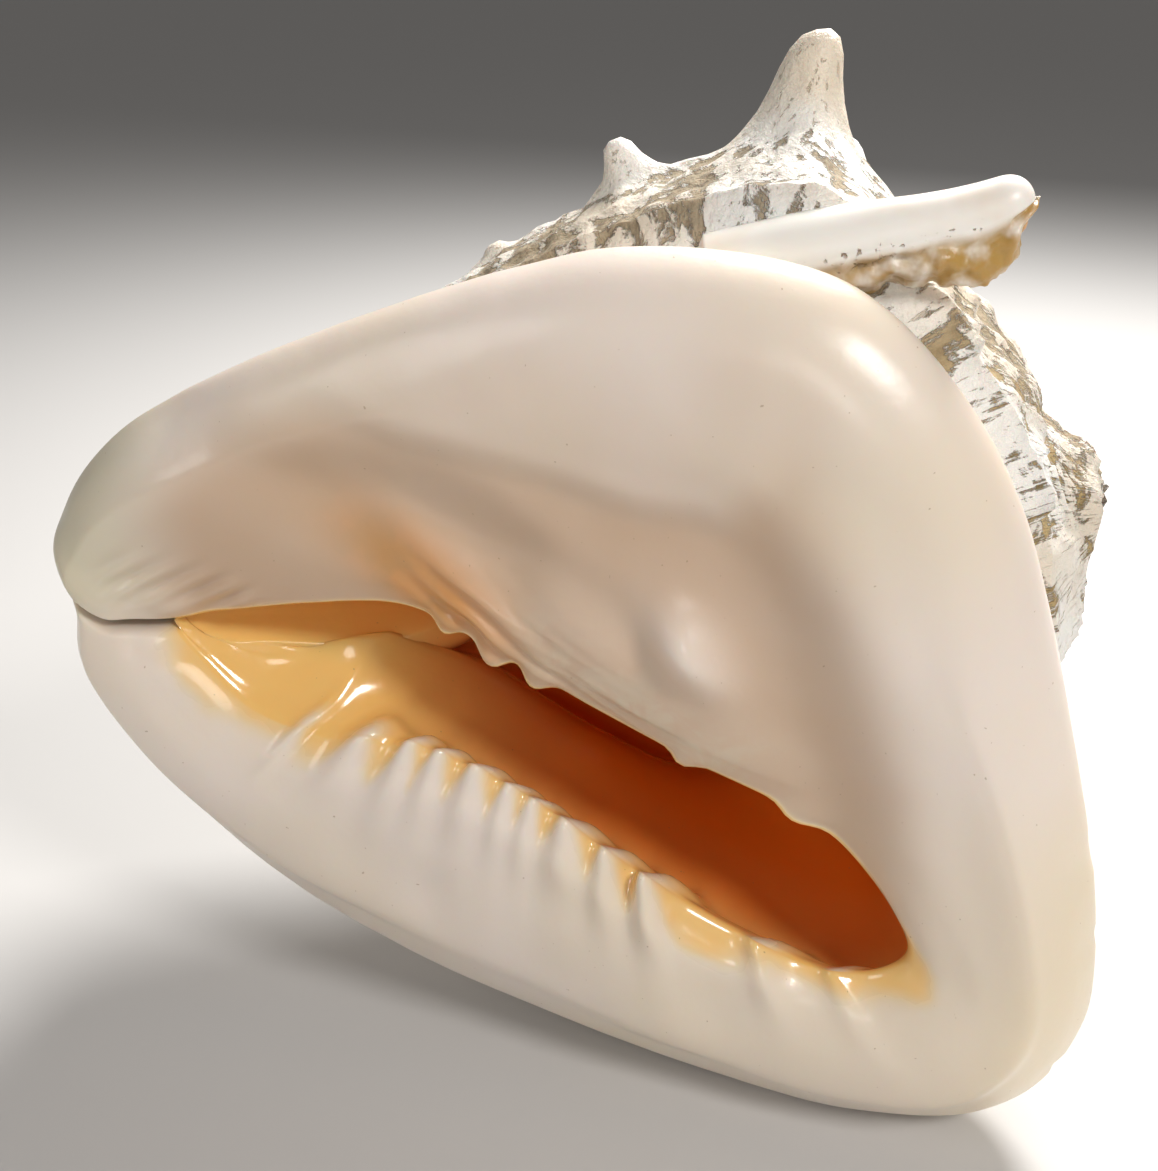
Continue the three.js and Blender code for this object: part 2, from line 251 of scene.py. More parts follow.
def on_body(direction):
    """Where a ray from the middle leaves the body; the spire is drawn up a little towards its tip."""
    near = np.zeros(direction.shape[:-1])
    far = near + BEYOND_BODY
    for _ in range(HALVINGS):
        mid = (near + far) / 2
        s, r, a = round_axis(CENTRE + direction * mid[..., None])
        inside = r < body_radius(s, a)
        near, far = np.where(inside, mid, near), np.where(inside, far, mid)
    p = CENTRE + direction * near[..., None]
    return p + SPIRE_SHIFT * ramp(52, APEX, round_axis(p)[0])[..., None]


def unit(v):
    return v / np.linalg.norm(v, axis=-1, keepdims=True)


# ---------------------------------------------------------------- one mesh from a grid of rings
def ring_mesh(name, rings, attributes):
    """rings (rows, columns, 3), first and last row each one point: a closed mesh made on a UV sphere."""
    rows, cols = rings.shape[0] - 1, rings.shape[1]
    bm = bmesh.new()
    bmesh.ops.create_uvsphere(bm, u_segments=cols, v_segments=rows, radius=1)
    mesh = bpy.data.meshes.new(name)
    bm.to_mesh(mesh)
    bm.free()
    co = np.empty(len(mesh.vertices) * 3)
    mesh.vertices.foreach_get("co", co)
    co = co.reshape(-1, 3)
    row = np.rint(np.arccos(np.clip(co[:, 2], -1, 1)) / math.pi * rows).astype(int)
    col = np.rint(np.arctan2(co[:, 1], co[:, 0]) / (2 * math.pi) * cols).astype(int) % cols
    placed = to_world(rings[row, col])
    placed[:, 2] = np.maximum(placed[:, 2], 0)  # worn flat where it rests
    mesh.vertices.foreach_set("co", placed.ravel())
    for key, values in attributes.items():
        layer = mesh.attributes.new(key, "FLOAT", "POINT")
        layer.data.foreach_set("value", values[row, col].astype(np.float32))
    bm = bmesh.new()
    bm.from_mesh(mesh)
    if bm.calc_volume(signed=True) < 0:
        bmesh.ops.reverse_faces(bm, faces=bm.faces)
    bm.to_mesh(mesh)
    bm.free()
    mesh.shade_smooth()
    piece = bpy.data.objects.new(name, mesh)
    bpy.context.scene.collection.objects.link(piece)
    return piece


def ring_normals(p):
    du = np.roll(p, -1, 1) - np.roll(p, 1, 1)
    dv = np.gradient(p, axis=0)
    n = np.cross(du, dv)
    return n / (np.linalg.norm(n, axis=-1, keepdims=True) + 1e-9)


def spread(keys, count):
    """count places from 0 to 1 (end left out), denser where a weight is high: keys are (from, to, weight)."""
    x = np.linspace(0, PLACES, 4001)
    w = np.ones_like(x)
    for a, b, extra in keys:
        w += extra * ramp(a - 0.5, a + 0.2, x) * (1 - ramp(b - 0.2, b + 0.5, x))
    c = np.concatenate([[0], np.cumsum((w[1:] + w[:-1]) / 2)])
    return np.interp(np.arange(count) / count * c[-1], c, x) / PLACES


# ---------------------------------------------------------------- face, lip and mouth
def shell_face():
    cols = 400
    t = spread([(2.3, 6.6, 1.6), (13.2, 15, 0.8), (0, 0.3, 2.5), (18.2, 19, 2)], cols)
    x = t * PLACES
    edge, rim = closed_curve(OPENING, t), closed_curve(RIM, t)
    lip = np.clip(closed_curve(LIP_SHARE, t), 0, 1)
    width = np.linalg.norm(rim - edge, axis=1)
    out = (rim - edge) / width[:, None]
    open_share = ramp(0, 30, np.linalg.norm(edge - OPENING[0], axis=1))

    def at(start, reach, height):
        q = start + out * np.broadcast_to(reach, width.shape)[:, None]
        return np.column_stack([q, np.broadcast_to(height, width.shape)])

    def mix(on_lip, on_shield):
        return on_shield + (on_lip - on_shield) * lip

    def chamber(size, depth, grow=0):
        a = np.arctan2(edge[:, 1] - CHAMBER[1], edge[:, 0] - CHAMBER[0])
        r = size * CHAMBER[3] + grow
        z = 0 * a + CHAMBER[2] + depth
        return np.column_stack([CHAMBER[0] + r * np.cos(a), CHAMBER[1] + r * np.sin(a), z])

    far = np.repeat(FAR_END[None], cols, 0)
    canal = ramp(-10, -74, edge[:, 0])
    # stations 0 to 2 are the chamber, 3 to 5 the throat, 6 the edge of the opening, 13 the rim, then the back
    st = [far, chamber(0.55, -26 + 36 * canal * (0.5 + 0.5 * lip)), chamber(1, 51 * canal * (0.6 + 0.4 * lip))]
    gap = np.interp(edge[:, 0], *CANAL_GAP)
    for (reach, height, pull), (across, low, under, drop) in zip(THROAT, CANAL_FLOOR):
        p = at(edge, -reach * (0.3 + 0.7 * lip) * open_share, height * (0.35 + 0.65 * open_share))
        p = p * (1 - pull) + far * pull
        floor = at(edge, mix(-across * gap, under * open_share), mix(low, drop) * (0.3 + 0.7 * open_share))
        st.append(p + (floor - p) * canal[:, None])
    for reach, share, a, b in FROM_EDGE:
        st.append(at(edge, np.minimum(reach, share * width), mix(a, b)))
    for share, a, b in ACROSS:
        st.append(at(edge, share * width, mix(a, b)))
    for reach, share, a, b in FROM_RIM:
        st.append(at(rim, -np.minimum(reach, share * width), mix(a, b)))
    for reach, a, b in BEHIND_RIM:
        st.append(at(rim, -reach, mix(a, b)))
    st.append(at(edge, 0.35 * width, -46))
    st += [chamber(1, -4, 7), chamber(0.6, -32, 7), far + [0, 0, -9]]
    st = np.array(st)
    k = 1
    rows = [np.linspace(a, b, max(n // k, 2), endpoint=False) for a, b, n in ROW_PLAN]
    rows = np.concatenate(rows + [[18.0]])
    p = along(st, rows)
    p[0], p[-1] = FAR_END, FAR_END + [0, 0, -9]
    row = rows[:, None] + 0 * x
    xx = x + 0 * rows[:, None]
    # distance outward from the opening edge, millimetres
    reach = np.einsum("rcd,cd->rc", p[..., :2] - edge, out)
    face = ramp(5.6, 6.6, row) * (1 - ramp(12.2, 13.2, row))
    # teeth and folds: broad crests with narrow valleys, leaning towards the canal as they run out
    out_reach = np.maximum(reach, 0)
    down = np.where(row < 6, np.maximum(row - 6, -1.5) * 4, out_reach)
    lean = xx + 0.45 * (math.exp(-0.5) - np.exp(-(down + 6) / 12)) * ramp(2, 3, xx) * (1 - ramp(8, 9, xx))

    def crest(centre, half_width):
        return np.exp(-np.abs(around(lean, centre) / half_width) ** 2.2)

    tooth = sum(h * crest(c, w) for c, h, w in TEETH)
    fade = np.exp(-((out_reach / 12) ** 2)) + 0.12 * np.exp(-((out_reach / 26) ** 2))
    lift = tooth * np.where(row < 6, ramp(3.4, 5.0, row), fade)
    fold = sum(h * crest(c, w) for c, h, w in FOLDS)
    lift_fold = fold * np.where(row < 6, bell(row, 6, 0.7), np.exp(-((out_reach / 5) ** 2)))
    push = lift * np.where(row < 6, 1, np.exp(-((out_reach / 6) ** 2))) + lift_fold
    p[..., :2] -= out * push[..., None]
    p[..., 2] += 0.8 * lift * ramp(4.2, 5.8, row) + 0.3 * lift_fold
    u, v = p[..., 0].copy(), p[..., 1].copy()

    # named swells and hollows of the face
    def swell(cu, cv, ru, rv, h, angle=0.0):
        a = math.radians(angle)
        du, dv = u - cu, v - cv
        x1 = du * math.cos(a) + dv * math.sin(a)
        y1 = -du * math.sin(a) + dv * math.cos(a)
        return h * np.exp(-((x1 / ru) ** 2) - (y1 / rv) ** 2)

    below = beside(u, v, STEP)
    inner = beside(u, v, RIDGE)  # positive on the mouth's side of the ridge
    shield = (1 - lip) + 0 * row
    w = sum(swell(*place) for place in BUMP)
    step = ramp(-1, 7, below) * (1 - ramp(22, 40, below))
    w = w - 1.5 * step * shield * ramp(-75, -45, u) * (1 - ramp(28, 46, v))
    w = w + (2.4 * bell(inner, 0, 10) - 1.8 * bell(inner, 18, 12)) * ramp(-85, -55, v) * (1 - ramp(12, 36, v))
    w = w - 2.6 * bell(beside(u, v, LEFT_HOLLOW), 0, 9)
    for place in SWELLS:
        w = w + swell(*place)
    # diagonal folds beside the opening: d across them, s along them
    d = (u + 24) * 0.51 + (v + 6) * 0.86
    s = -(u + 24) * 0.86 + (v + 6) * 0.51
    ridges = np.sin(d * 2 * math.pi / 5.6 + 0.5 * np.sin(s / 4))
    w = w + 1.1 * ridges * bell(d, -4, 7) * bell(s, -8, 14) + 2.2 * bell(d, 1, 4.5) * bell(s, 2, 20)
    w = w + 0.25 * np.sin(d * 2 * math.pi / 3.1 + s / 7) * bell(s, -26, 16) * bell(d, 2, 8)
    # little wrinkles where the shield meets the canal
    wrinkles = 0.8 * np.sin((u * 0.8 - v) * 2 * math.pi / 6.2) * bell(v, -22, 5)
    w = w + wrinkles * ramp(-108, -98, u) * (1 - ramp(-78, -66, u))
    for place in DENTS:
        w = w + swell(*place)
    p[..., 2] += w * face
    # slit where the rounded end of the shield lies over the lip; its mask also paints shade into the colour there
    line = v - (-33 + (u + 91) * 0.07 + 10 * ramp(-102, -121, u))
    slit = np.where(line < 0, np.exp(-((line / 1.3) ** 2)), np.exp(-((line / 0.7) ** 2)))
    slit = slit * ramp(-84, -92, u) * ramp(5.2, 6.2, row) * (1 - ramp(13.4, 14.2, row))
    p[..., 2] += (-7 * slit + 1.8 * bell(line, 5, 4.5) * ramp(-84, -92, u)) * np.where(row > 5.2, 1, 0)
    p[..., 0] += 4.5 * bell(around(xx, 18.55), 0, 0.13) * bell(row, 12.6, 1.2)
    # chips on the thin right edge
    for place, size in CHIPS:
        chip = ramp(place - 0.012, place, xx) * (1 - ramp(place, place + 0.16, xx)) * bell(row, 12.5, 0.8)
        p[..., :2] -= out * (size * chip)[..., None]
    # gentle unevenness of the porcelain
    nrm = ring_normals(p)
    soft = 0.45 * value_noise(p, 26, 3) + 0.14 * value_noise(p, 9, 4)
    p += nrm * (soft * ramp(5.2, 6.2, row) * (1 - ramp(13.5, 14, row)))[..., None]
    # where the orange of the mouth shows: on the floor, over the edge, and in the valleys between teeth
    ridge = np.max([crest(c, w) for c, h, w in TEETH], axis=0)
    spill = np.interp(xx, *np.array(SPREAD).T) + 1.4 * value_noise(p, 5, 21) * lip
    toothed = ramp(2.1, 2.8, xx) * (1 - ramp(6.2, 7.0, xx))
    edge_at = spill + ((spill + 1.5) * 1.25 * (1 - ridge) - 1.5 - spill) * toothed
    soft_edge = 1.5 + 3.5 * (lip * np.ones_like(row))
    bare = 1 - 0.75 * ridge * ramp(4.4, 5.6, row)
    outside = 0.8 * (1 - ramp(edge_at - soft_edge, edge_at + soft_edge, reach))
    orange = np.where(row < 6, bare, np.maximum(outside, bare * (1 - ramp(6, 6.5, row))))
    # the other tints of the porcelain
    folds = np.clip(1.25 * bell(s, 6, 22) * bell(d, -5.5, 9), 0, 1) * face * (1 - lip)
    # tan of the thick glaze, spread above the step and over the middle and left of the shield as painted shade; lighter
    # over the bump and near the rim
    tan_and_shade = (1 - 0.9 * swell(*BUMP_PATCH)) * ramp(3, 22, width - reach)
    tan_and_shade = tan_and_shade * (0.35 * ramp(-36, -4, below) + 0.65 * ramp(-4, 9, below))
    tan_and_shade = tan_and_shade * ramp(-10, 14, inner) * shield * ramp(-110, -78, u)
    veil = bell(beside(u, v, VEIL), 0, 9) * face
    # depth mask: the mouth's orange darkens deeper in and towards the right; this is partly the shell's own deeper
    # orange and partly painted shade under the shield's overhang
    depth = ramp(-10, -75, p[..., 2]) * 0.55 + ramp(-50, 10, u) * 0.75 * ramp(-2, -22, p[..., 2])
    tints = {
        "orange": orange, "depth": np.clip(depth, 0, 1), "folds": folds, "back": ramp(12.7, 14.2, row),
        "tan_and_shade": tan_and_shade, "veil": veil, "u": u, "v": v, "slit": slit,
    }
    return ring_mesh("shell_face", p, tints)


# ---------------------------------------------------------------- back of the last whorl, spire and horns
def shell_back():
    cols = 400
    rows_out = 225
    t = spread([], cols)
    edge, rim = closed_curve(OPENING, t), closed_curve(RIM, t)
    lip = np.clip(closed_curve(LIP_SHARE, t), 0, 1)
    pull = 0.86 - 0.1 * lip
    ring = unit(np.column_stack([(rim - CENTRE[:2]) * pull[:, None], -30 - 8 * lip - CENTRE[2]]))
    angle = np.arccos(np.clip(-ring[:, 2], -1, 1))
    f = np.linspace(0, 1, rows_out)
    f = np.concatenate([[-0.04, -0.02], f])
    d = ring[None] * (np.sin(angle * (1 - f[:, None])) / np.sin(angle))[..., None]
    d = unit(d + np.array([0, 0, -1.0]) * (np.sin(angle * f[:, None]) / np.sin(angle))[..., None])
    p = on_body(d)
    s, r, a = round_axis(p)
    n = -ring_normals(p)
    n *= np.sign(np.sum(n * (p - CENTRE), -1, keepdims=True))
    n[-1] = (0, 0, -1)
    # whorl steps of the spire
    spire = ramp(40, 52, s)
    turns = (s - 50) / 13.0 + a / (2 * math.pi)
    step = turns - np.floor(turns)
    relief = spire * (3.0 * step**0.7 - 1.6)
    relief = relief + spire * 1.6 * np.maximum(0, np.sin(a * 9 + np.floor(turns) * 2)) * bell(step, 0.75, 0.2)
    # cords along the growth direction and growth ribs across it
    warp = 3 * value_noise(p, 22, 5)
    cords = np.sin((s + warp) * 2 * math.pi / 6.5)
    ribs = np.sin((a * 88 + 1.4 * value_noise(p, 15, 6)) * 2 * math.pi / 7)
    lumps = value_noise(p, 7, 7) + 0.6 * value_noise(p, 3.6, 8)
    long_lumps = value_noise(np.stack([s * 0.35, np.cos(a) * 85, np.sin(a) * 85], -1), 5, 9)
    surface = 0.3 * cords + 0.25 * ribs + 0.55 * lumps + 0.8 * long_lumps
    base = p + n * (relief + surface)[..., None]
    height = np.zeros_like(s)
    moved = base.copy()
    table = along(np.array(HORN_PROFILE)[:, None], np.linspace(0, len(HORN_PROFILE) - 1, 141))[:, 0]
    for at_angle, place, tall, foot, lean in HORNS:
        g = math.radians(at_angle)
        outward = LIPWARD * math.cos(g) + DORSAL * math.sin(g)
        root = CENTRE + AXIS * place + DORSAL * canal_lift(place)
        root = root + outward * (body_radius(np.float64(place), g) - 2)
        up = unit(outward * tall + AXIS * lean)
        q = p - root
        h = q @ up
        side = q - h[..., None] * up
        dist = np.linalg.norm(side, axis=-1)
        near = (dist < foot) & (h > -foot * 0.7)
        share = np.where(near, dist / foot, 1)
        to = np.interp(share, table[:, 0], table[:, 1])
        rise = np.interp(share, table[:, 0], table[:, 2]) * (tall - 2)
        pinch = np.where(near, 1 - to / np.maximum(share, 1e-6), 0)
        keep = ramp(0.25, 0.8, share)
        moved = np.where(near[..., None], p + (moved - p) * keep[..., None], moved)
        moved = moved - side * pinch[..., None] + up * np.where(near, rise, 0)[..., None]
        height = np.maximum(height, np.where(near, rise / tall, 0))
    p = moved
    p[-1] = p[-1].mean(0)
    # tucked-in first rows under the shield, then a coarse inner wall so the piece is closed
    under = np.column_stack([rim - unit(rim - CENTRE[:2]) * 16, -17 - 8 * lip])
    p[0] = under
    p[1] = p[2] * 0.5 + under * 0.5
    inner = []
    for k in np.linspace(1, 0, 9)[:-1]:
        turned = 0.5 * math.pi * k
        dirs = unit(ring * math.sin(turned) + np.array([0, 0, -1.0]) * math.cos(turned))
        inner.append(CENTRE + (on_body(dirs) - CENTRE) * 0.92)
    inner = np.array(inner[::-1])
    inner[0] = inner[0].mean(0)
    rings = np.concatenate([inner, p])
    pad = np.zeros((len(inner), cols))
    marks = {"s": s, "ca": BODY_RADIUS * np.cos(a), "sa": BODY_RADIUS * np.sin(a), "horn": height, "rise": surface}
    return ring_mesh("shell_back", rings, {key: np.concatenate([pad, q]) for key, q in marks.items()})


# ---------------------------------------------------------------- free end of the previous lip
OLD_LIP = np.array([[10.0, 60, -17], [67.0, 82.5, -26]])


def old_lip_end():
    cols, rows = 120, 150
    start, end = OLD_LIP
    y = unit(end - start)
    z = np.array([0.2, 0.45, 0.85])
    z = unit(z - y * (z @ y))
    xv = np.cross(y, z)
    length = np.linalg.norm(end - start)
    f = (1 - np.cos(np.linspace(0, math.pi, rows + 1))) / 2
    a = np.linspace(0, 2 * math.pi, cols, endpoint=False)
    F, A = f[:, None] + 0 * a, a + 0 * f[:, None]
    ca, sa = np.cos(A), np.sin(A)
    taper = np.sqrt(np.clip(1 - np.clip((F - 0.9) / 0.1, 0, 1) ** 2.4, 0, 1)) * np.sqrt(np.clip(F / 0.05, 0, 1))
    wide = (7.6 - 2.6 * ramp(0.3, 1, F)) * taper
    thick = (7.2 - 2.4 * ramp(0.3, 1, F)) * taper
    low = np.clip(ca, 0, 1)
    web = 4.5 * ramp(0.5, 0.8, F) * (1 - ramp(0.84, 0.98, F)) + 1.5 * ramp(0.1, 0.4, F) * (1 - ramp(0.9, 1, F))
    web = web * low**2.5 * (1 + 0.22 * np.sin(F * 31 + 2 * np.sin(F * 11)))
    lift = 1.2 * ramp(0.75, 1, F)
    p = start + y * (F * length)[..., None] + xv * (wide * ca + web - lift)[..., None]
    p = p + z * (thick * sa - 0.3 * web)[..., None]
    under = ramp(0.45, 0.7, ca) * ramp(0.12, 0.5, F)
    n = ring_normals(p)
    n *= np.sign(np.sum(n * (p - (start + y * (F * length)[..., None])), -1, keepdims=True))
    layers = np.sin(ca * 16 + 2 * value_noise(p, 6, 14))
    rough = 0.9 * value_noise(p, 3.2, 12) + 0.6 * value_noise(p, 1.6, 11) + 0.7 * layers
    p += n * (under * rough + 0.25 * value_noise(p, 9, 13))[..., None]
    p[0], p[-1] = p[0].mean(0), p[-1].mean(0)
    line = bell(np.mod(A, 2 * math.pi), math.pi * 0.36, 0.05) * ramp(0.3, 0.42, F)
    big = 0.9 * bell(np.mod(A, 2 * math.pi), math.pi * 0.27, 0.09) * bell(F, 0.47, 0.14)
    return ring_mesh("old_lip_end", p, {"under": under, "pits": np.maximum(line, big)})


face = shell_face()
back_piece = shell_back()
tongue = old_lip_end()
for piece in (face, back_piece, tongue):
    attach(piece, "root")
    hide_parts("shell")


# ---------------------------------------------------------------- materials
def new_material(name):
    m = bpy.data.materials.new(name)
    m.use_nodes = True
    return m, m.node_tree, m.node_tree.nodes["Principled BSDF"]


def node(tree, kind, **values):
    n = tree.nodes.new(kind)
    for key, value in values.items():
        setattr(n, key, value)
    return n


def attribute(tree, name):
    return node(tree, "ShaderNodeAttribute", attribute_name=name).outputs["Fac"]


def noise(tree, scale, detail=3.0, rough=0.5, vector=None, distortion=0.0):
    n = node(tree, "ShaderNodeTexNoise")
    n.inputs["Scale"].default_value = scale
    n.inputs["Detail"].default_value = detail
    n.inputs["Roughness"].default_value = rough
    n.inputs["Distortion"].default_value = distortion
    if vector is None:
        vector = node(tree, "ShaderNodeTexCoord").outputs["Object"]
    tree.links.new(vector, n.inputs["Vector"])
    return n.outputs["Fac"]


def remap(tree, value, a, b, c=0.0, d=1.0):
    n = node(tree, "ShaderNodeMapRange", interpolation_type="SMOOTHSTEP")
    tree.links.new(value, n.inputs["Value"])
    for key, val in zip(("From Min", "From Max", "To Min", "To Max"), (a, b, c, d)):
        n.inputs[key].default_value = val
    return n.outputs["Result"]


def math_node(tree, op, a, b):
    n = node(tree, "ShaderNodeMath", operation=op)
    for k, val in enumerate((a, b)):
        if isinstance(val, (int, float)):
            n.inputs[k].default_value = val
        else:
            tree.links.new(val, n.inputs[k])
    return n.outputs[0]


def times(tree, a, b):
    return math_node(tree, "MULTIPLY", a, b)


def plus(tree, a, b):
    return math_node(tree, "ADD", a, b)


def minus(tree, a, b):
    return math_node(tree, "SUBTRACT", a, b)


def blend_colour(tree, factor, a, b):
    n = node(tree, "ShaderNodeMix", data_type="RGBA", blend_type="MIX")
    for key, val in ((0, factor), (6, a), (7, b)):
        if isinstance(val, (int, float)):
            n.inputs[key].default_value = val
        elif isinstance(val, tuple):
            n.inputs[key].default_value = (*val, 1)
        else:
            tree.links.new(val, n.inputs[key])
    return n.outputs[2]


def bump(tree, height, distance):
    n = node(tree, "ShaderNodeBump")
    n.inputs["Distance"].default_value = distance
    n.inputs["Strength"].default_value = 1.0
    tree.links.new(height, n.inputs["Height"])
    return n.outputs["Normal"]


CREAM = (0.86, 0.75, 0.61)
PINK = (0.88, 0.78, 0.70)
BEIGE_AND_SHADE = (0.64, 0.46, 0.32)
LIGHT_ORANGE = (0.98, 0.60, 0.19)
GREENISH = (0.66, 0.61, 0.45)
APRICOT = (0.70, 0.32, 0.09)
SHADED_DEEP_ORANGE = (0.85, 0.19, 0.014)
CHALK = (0.95, 0.93, 0.88)
OCHRE = (0.48, 0.29, 0.08)
WARM_EDGE = (0.80, 0.68, 0.47)
VEIL_GREY = (0.72, 0.64, 0.50)
FOLD_BROWN = (0.60, 0.30, 0.09)
PALE_ORANGE = (0.88, 0.70, 0.44)
SPECK = (0.35, 0.22, 0.1)
SLIT_SHADE = (0.12, 0.07, 0.03)
WORN = (0.42, 0.30, 0.16)
AGED_CHALK = (0.80, 0.70, 0.56)
CHALK_SPECK = (0.50, 0.38, 0.22)
STAIN_DARK, STAIN_PALE, STAIN_OCHRE = (0.17, 0.125, 0.07), (0.42, 0.33, 0.21), (0.50, 0.34, 0.12)
IVORY, AGED_IVORY = (0.93, 0.90, 0.84), (0.86, 0.78, 0.68)
PIT = (0.34, 0.22, 0.12)


def porcelain():
    m, tree, bsdf = new_material("porcelain")
    tone = blend_colour(tree, remap(tree, noise(tree, 14, 2), 0.35, 0.65), PINK, CREAM)
    u, v = attribute(tree, "u"), attribute(tree, "v")
    # beige over the shield: partly the glaze's own tan, partly painted shade
    tan_and_shade = times(tree, attribute(tree, "tan_and_shade"), remap(tree, noise(tree, 22, 2), 0.3, 0.7, 0.75, 1.0))
    tone = blend_colour(tree, tan_and_shade, tone, BEIGE_AND_SHADE)
    canal = times(tree, remap(tree, u, -82, -112), remap(tree, v, -36, -26))
    tone = blend_colour(tree, times(tree, canal, 0.8), tone, GREENISH)
    right = times(tree, remap(tree, u, 92, 112), remap(tree, v, -10, -45))
    tone = blend_colour(tree, times(tree, right, 0.6), tone, WARM_EDGE)
    streaks = remap(tree, noise(tree, 60, 4, 0.6, distortion=1.5), 0.42, 0.62)
    veil = times(tree, attribute(tree, "veil"), streaks)
    tone = blend_colour(tree, times(tree, veil, 0.5), tone, VEIL_GREY)
    fold_tone = blend_colour(tree, remap(tree, noise(tree, 90, 3), 0.4, 0.6), APRICOT, FOLD_BROWN)
    tone = blend_colour(tree, times(tree, attribute(tree, "folds"), 0.85), tone, fold_tone)
    # light to deep orange inside the mouth: partly the shell's own colour, partly painted shade deeper in the cavity
    inside = blend_colour(tree, attribute(tree, "depth"), LIGHT_ORANGE, SHADED_DEEP_ORANGE)
    orange = attribute(tree, "orange")
    half = blend_colour(tree, remap(tree, orange, 0, 0.6), tone, PALE_ORANGE)
    colour = blend_colour(tree, remap(tree, orange, 0.3, 1), half, inside)
    specks = remap(tree, noise(tree, 900, 1), 0.78, 0.81)
    colour = blend_colour(tree, times(tree, specks, 0.5), colour, SPECK)
    # painted shade: the slit under the end of the shield is darkened in colour
    colour = blend_colour(tree, times(tree, attribute(tree, "slit"), 0.7), colour, SLIT_SHADE)
    worn = times(tree, attribute(tree, "back"), remap(tree, noise(tree, 120, 4, 0.65), 0.5, 0.6))
    colour = blend_colour(tree, times(tree, worn, 0.6), colour, WORN)
    tree.links.new(colour, bsdf.inputs["Base Color"])
    rough = remap(tree, noise(tree, 60, 3), 0.3, 0.7, 0.28, 0.38)
    rough = minus(tree, rough, times(tree, orange, 0.16))
    tree.links.new(plus(tree, rough, times(tree, worn, 0.4)), bsdf.inputs["Roughness"])
    bsdf.inputs["Subsurface Weight"].default_value = 0.25
    bsdf.inputs["Subsurface Radius"].default_value = (1.0, 0.5, 0.25)
    bsdf.inputs["Subsurface Scale"].default_value = 0.006
    tree.links.new(plus(tree, times(tree, orange, 0.6), 0.05), bsdf.inputs["Coat Weight"])
    bsdf.inputs["Coat Roughness"].default_value = 0.06
    tree.links.new(bump(tree, noise(tree, 150, 3), 0.00015), bsdf.inputs["Normal"])
    return m


def coil_vector(tree, stretch):
    """Coordinates that follow the coil, millimetres, squeezed along the axis."""
    n = node(tree, "ShaderNodeCombineXYZ")
    tree.links.new(times(tree, attribute(tree, "s"), stretch), n.inputs[0])
    tree.links.new(attribute(tree, "ca"), n.inputs[1])
    tree.links.new(attribute(tree, "sa"), n.inputs[2])
    return n.outputs[0]


def chalk():
    m, tree, bsdf = new_material("chalky_back")
    low = remap(tree, attribute(tree, "rise"), 0.9, -0.7)
    patches = noise(tree, 95, 6, 0.7, distortion=0.7)
    field = noise(tree, 0.016, 2, 0.5, coil_vector(tree, 1.0))
    level = plus(tree, patches, times(tree, low, 0.16))
    level = plus(tree, level, times(tree, minus(tree, field, 0.5), 0.35))
    horn = remap(tree, attribute(tree, "horn"), 0.08, 0.4)
    level = minus(tree, level, times(tree, horn, 0.6))
    sparse = remap(tree, attribute(tree, "sa"), -45, -75, 0.0, 0.1)
    level = minus(tree, level, sparse)
    fine = noise(tree, 0.55, 4, 0.65, coil_vector(tree, 0.7))
    level = plus(tree, level, times(tree, minus(tree, fine, 0.5), 0.45))
    mask = remap(tree, level, 0.535, 0.62)
    specks = remap(tree, fine, 0.6, 0.66)
    tone = blend_colour(tree, remap(tree, noise(tree, 25, 3), 0.4, 0.7), CHALK, AGED_CHALK)
    tone = blend_colour(tree, times(tree, specks, 0.45), tone, CHALK_SPECK)
    stain = blend_colour(tree, remap(tree, fine, 0.35, 0.6), STAIN_DARK, STAIN_PALE)
    ochre = times(tree, remap(tree, attribute(tree, "sa"), -40, -65), 0.8)
    stain = blend_colour(tree, ochre, stain, STAIN_OCHRE)
    colour = blend_colour(tree, times(tree, mask, 0.92), tone, stain)
    tree.links.new(colour, bsdf.inputs["Base Color"])
    tree.links.new(remap(tree, mask, 0, 1, 0.42, 0.85), bsdf.inputs["Roughness"])
    bsdf.inputs["Subsurface Weight"].default_value = 0.1
    bsdf.inputs["Subsurface Scale"].default_value = 0.003
    height = minus(tree, noise(tree, 320, 4, 0.65), times(tree, mask, 0.9))
    height = minus(tree, height, times(tree, specks, 0.3))
    tree.links.new(bump(tree, height, 0.0009), bsdf.inputs["Normal"])
    return m


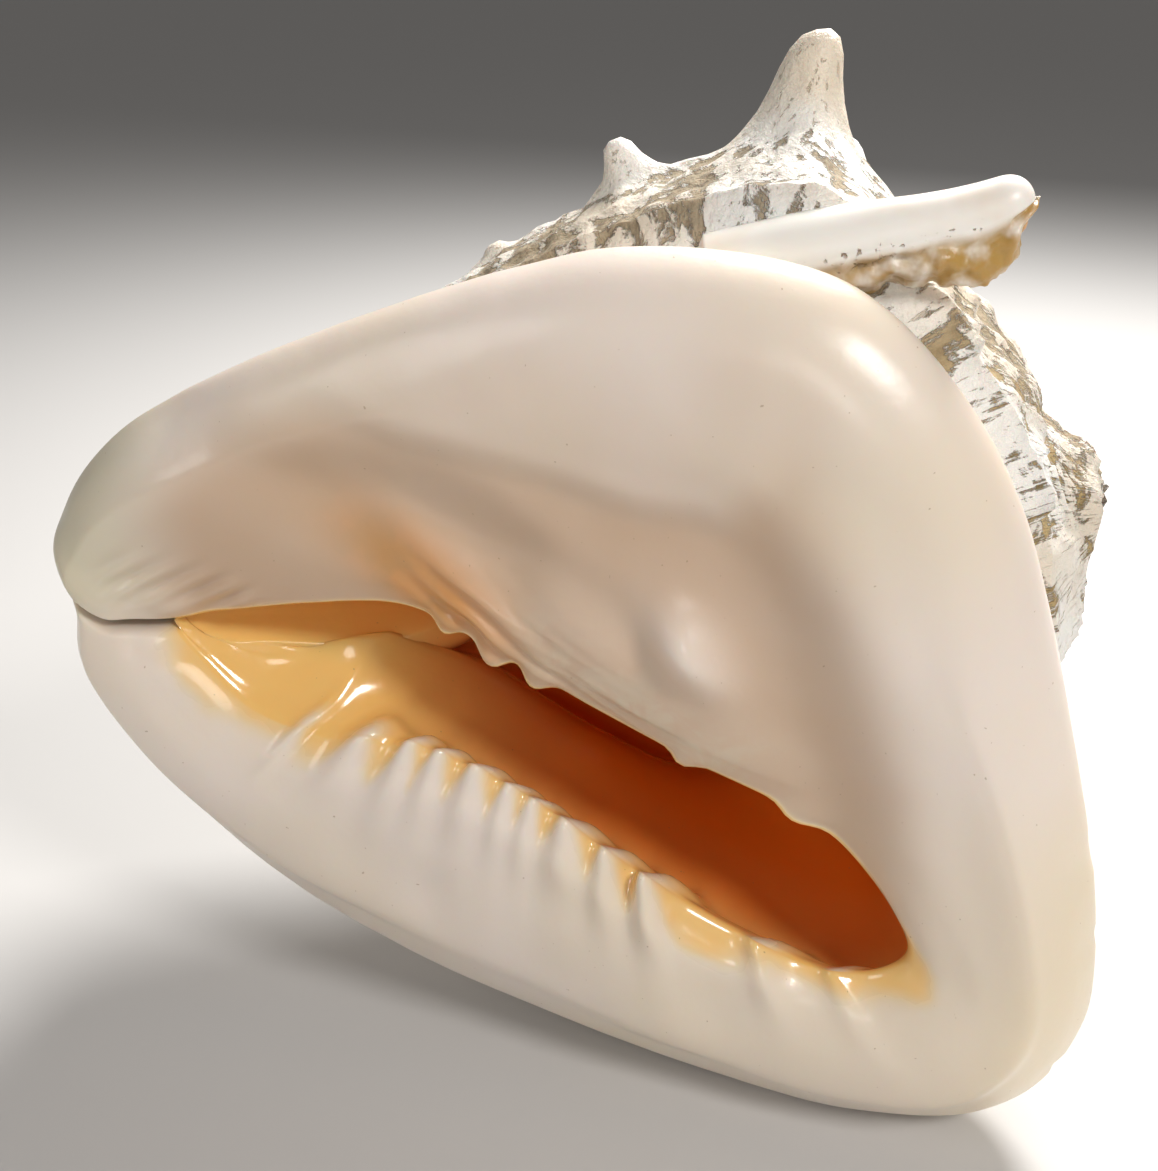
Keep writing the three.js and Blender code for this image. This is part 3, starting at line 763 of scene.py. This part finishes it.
def varix():
    m, tree, bsdf = new_material("smooth_varix")
    tone = blend_colour(tree, remap(tree, noise(tree, 60, 3), 0.4, 0.7), IVORY, AGED_IVORY)
    mask = times(tree, attribute(tree, "under"), remap(tree, noise(tree, 150, 3), 0.25, 0.6))
    colour = blend_colour(tree, mask, tone, OCHRE)
    pits = times(tree, attribute(tree, "pits"), remap(tree, noise(tree, 700, 2), 0.6, 0.66))
    colour = blend_colour(tree, pits, colour, PIT)
    tree.links.new(colour, bsdf.inputs["Base Color"])
    bsdf.inputs["Roughness"].default_value = 0.35
    bsdf.inputs["Subsurface Weight"].default_value = 0.15
    bsdf.inputs["Subsurface Scale"].default_value = 0.004
    height = minus(tree, times(tree, noise(tree, 200, 4), attribute(tree, "under")), pits)
    tree.links.new(bump(tree, height, 0.0007), bsdf.inputs["Normal"])
    return m


face.data.materials.append(porcelain())
back_piece.data.materials.append(chalk())
tongue.data.materials.append(varix())

# ---------------------------------------------------------------- floor and light
FLOOR_HALF_WIDTH = 30
FLOOR_COLOUR = (0.62, 0.61, 0.60, 1)
WORLD_STRENGTH = 0.16
bm = bmesh.new()
bmesh.ops.create_grid(bm, x_segments=2, y_segments=2, size=FLOOR_HALF_WIDTH)
floor_mesh = bpy.data.meshes.new("floor")
bm.to_mesh(floor_mesh)
bm.free()
floor = bpy.data.objects.new("floor", floor_mesh)
bpy.context.scene.collection.objects.link(floor)
m, tree, bsdf = new_material("pale_floor")
bsdf.inputs["Base Color"].default_value = FLOOR_COLOUR
bsdf.inputs["Roughness"].default_value = 0.7
floor.data.materials.append(m)


def area_light(name, place, aim, size, power, colour):
    data = bpy.data.lights.new(name, "AREA")
    data.shape = "DISK"
    data.size = size
    data.energy = power
    data.color = colour
    light = bpy.data.objects.new(name, data)
    light.location = place
    light.rotation_euler = (Vector(aim) - Vector(place)).to_track_quat("-Z", "Y").to_euler()
    bpy.context.scene.collection.objects.link(light)


WARM_WHITE = (1, 0.97, 0.94)
area_light("window", (0.5, -0.62, 0.8), (0, 0, 0.1), 0.25, 4.8, WARM_WHITE)
area_light("top", (0.3, 0.5, 0.75), (0.02, 0, 0.12), 0.45, 14, (1, 0.98, 0.95))
area_light("left", (-0.8, -0.4, 0.7), (0, 0, 0.1), 0.4, 1.5, WARM_WHITE)
area_light("front", (0.0, -1.0, 0.45), (0, 0, 0.1), 0.3, 1.2, WARM_WHITE)
world = bpy.data.worlds.new("studio")
bpy.context.scene.world = world
world.use_nodes = True
world.node_tree.nodes["Background"].inputs["Color"].default_value = (*WARM_WHITE, 1)
world.node_tree.nodes["Background"].inputs["Strength"].default_value = WORLD_STRENGTH
bpy.context.scene.view_settings.view_transform = "Standard"
